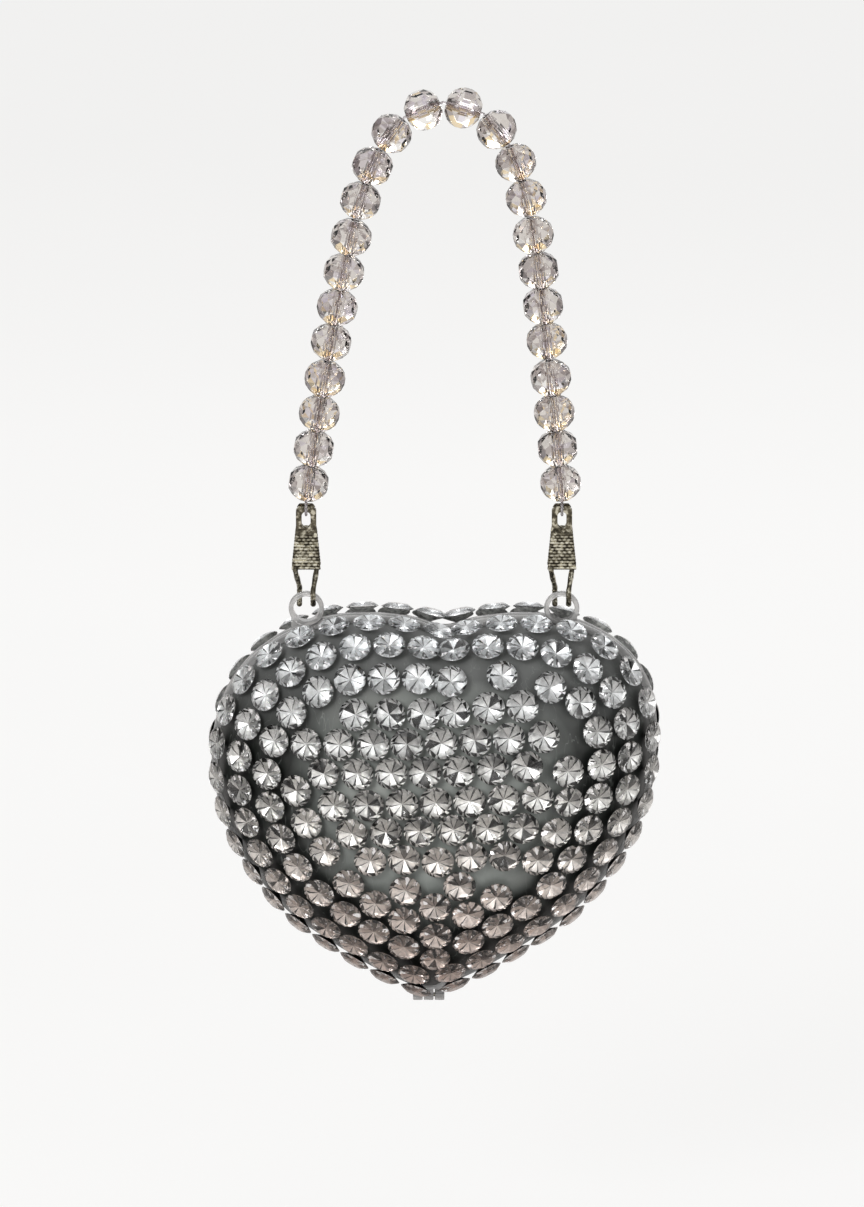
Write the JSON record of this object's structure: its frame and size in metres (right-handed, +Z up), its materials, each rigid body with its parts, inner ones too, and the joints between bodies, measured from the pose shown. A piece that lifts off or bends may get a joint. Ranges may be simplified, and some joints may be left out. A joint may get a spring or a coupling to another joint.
{
  "type": "clutch",
  "caption": "Heart-shaped hard-shell clutch covered in round cut stones, opening at a tip hinge, hung by two pinch clips from a loop handle of faceted clear glass beads.",
  "frame": {"origin": "the crown of the handle, on the cord's middle line, where a hand or a hook holds it", "axes": "+Z up along the hanging bag, -Y out of the front of the heart, +X to the right as the front is seen"},
  "size_m": [0.1117, 0.0564, 0.2319],
  "materials": {
    "shell": "clear moulded plastic, smoky behind the stones",
    "stones": "round cut stones with foiled backs, cool grey to brown glints",
    "beads": "clear faceted glass with mauve and amber reflections",
    "cord": "clear monofilament",
    "clips": "aged nickel plate, pale champagne, worn on the ridges"
  },
  "bodies": {
    "strand_top": {"cord_top": "cord", "bead_09": "beads", "bead_10": "beads", "bead_11": "beads", "bead_12": "beads", "bead_13": "beads", "bead_14": "beads", "bead_15": "beads", "bead_16": "beads"},
    "strand_middle": {"cord_left_middle": "cord", "cord_right_middle": "cord", "bead_05": "beads", "bead_06": "beads", "bead_07": "beads", "bead_08": "beads", "bead_17": "beads", "bead_18": "beads", "bead_19": "beads", "bead_20": "beads"},
    "strand_low": {"cord_left_low": "cord", "cord_right_low": "cord", "bead_01": "beads", "bead_02": "beads", "bead_03": "beads", "bead_04": "beads", "bead_21": "beads", "bead_22": "beads", "bead_23": "beads", "bead_24": "beads"},
    "left_clip": {"left_clip_front_arm": "clips"},
    "left_clip_grip": {"left_clip_rear_arm": "clips"},
    "right_clip": {"right_clip_front_arm": "clips"},
    "right_clip_grip": {"right_clip_rear_arm": "clips"},
    "back_half": {"back_shell": "shell", "back_stones": "stones", "hinge_pin": "clips"},
    "front_half": {"front_shell": "shell", "front_stones": "stones"}
  },
  "joints": [
    {"name": "handle_upper_bend", "type": "hinge", "parent": "strand_top", "child": "strand_middle", "pos_m": [-0.02232, 0, -0.02916], "axis": [0.9999, 0, 0.0145], "range_deg": [-15, 15]},
    {"name": "handle_lower_bend", "type": "hinge", "parent": "strand_middle", "child": "strand_low", "pos_m": [-0.0291, 0, -0.06473], "axis": [1, 0, 0.0049], "range_deg": [-15, 15]},
    {"name": "left_clip_swing", "type": "hinge", "parent": "strand_low", "child": "left_clip", "pos_m": [-0.03455, 0, -0.10217], "axis": [1, 0, 0], "range_deg": [-60, 60]},
    {"name": "right_clip_swing", "type": "hinge", "parent": "strand_low", "child": "right_clip", "pos_m": [0.02835, 0, -0.10217], "axis": [1, 0, 0], "range_deg": [-60, 60]},
    {"name": "left_clip_pinch", "type": "hinge", "parent": "left_clip", "child": "left_clip_grip", "pos_m": [-0.03455, 0, -0.10217], "axis": [-1, 0, 0], "range_deg": [0, 12], "stiffness_Nm_per_rad": 0.1},
    {"name": "right_clip_pinch", "type": "hinge", "parent": "right_clip", "child": "right_clip_grip", "pos_m": [0.02835, 0, -0.10217], "axis": [-1, 0, 0], "range_deg": [0, 12], "stiffness_Nm_per_rad": 0.1},
    {"name": "bag_swing", "type": "hinge", "parent": "left_clip", "child": "back_half", "pos_m": [-0.0031, 0, -0.12407], "axis": [1, 0, 0], "range_deg": [-80, 80]},
    {"name": "lid_hinge", "type": "hinge", "parent": "back_half", "child": "front_half", "pos_m": [-0.00442, 0, -0.22698], "axis": [1, 0, 0], "range_deg": [0, 90]}
  ],
  "couplings": [
    {"joint": "right_clip_swing", "follows": "left_clip_swing", "ratio": 1}
  ]
}
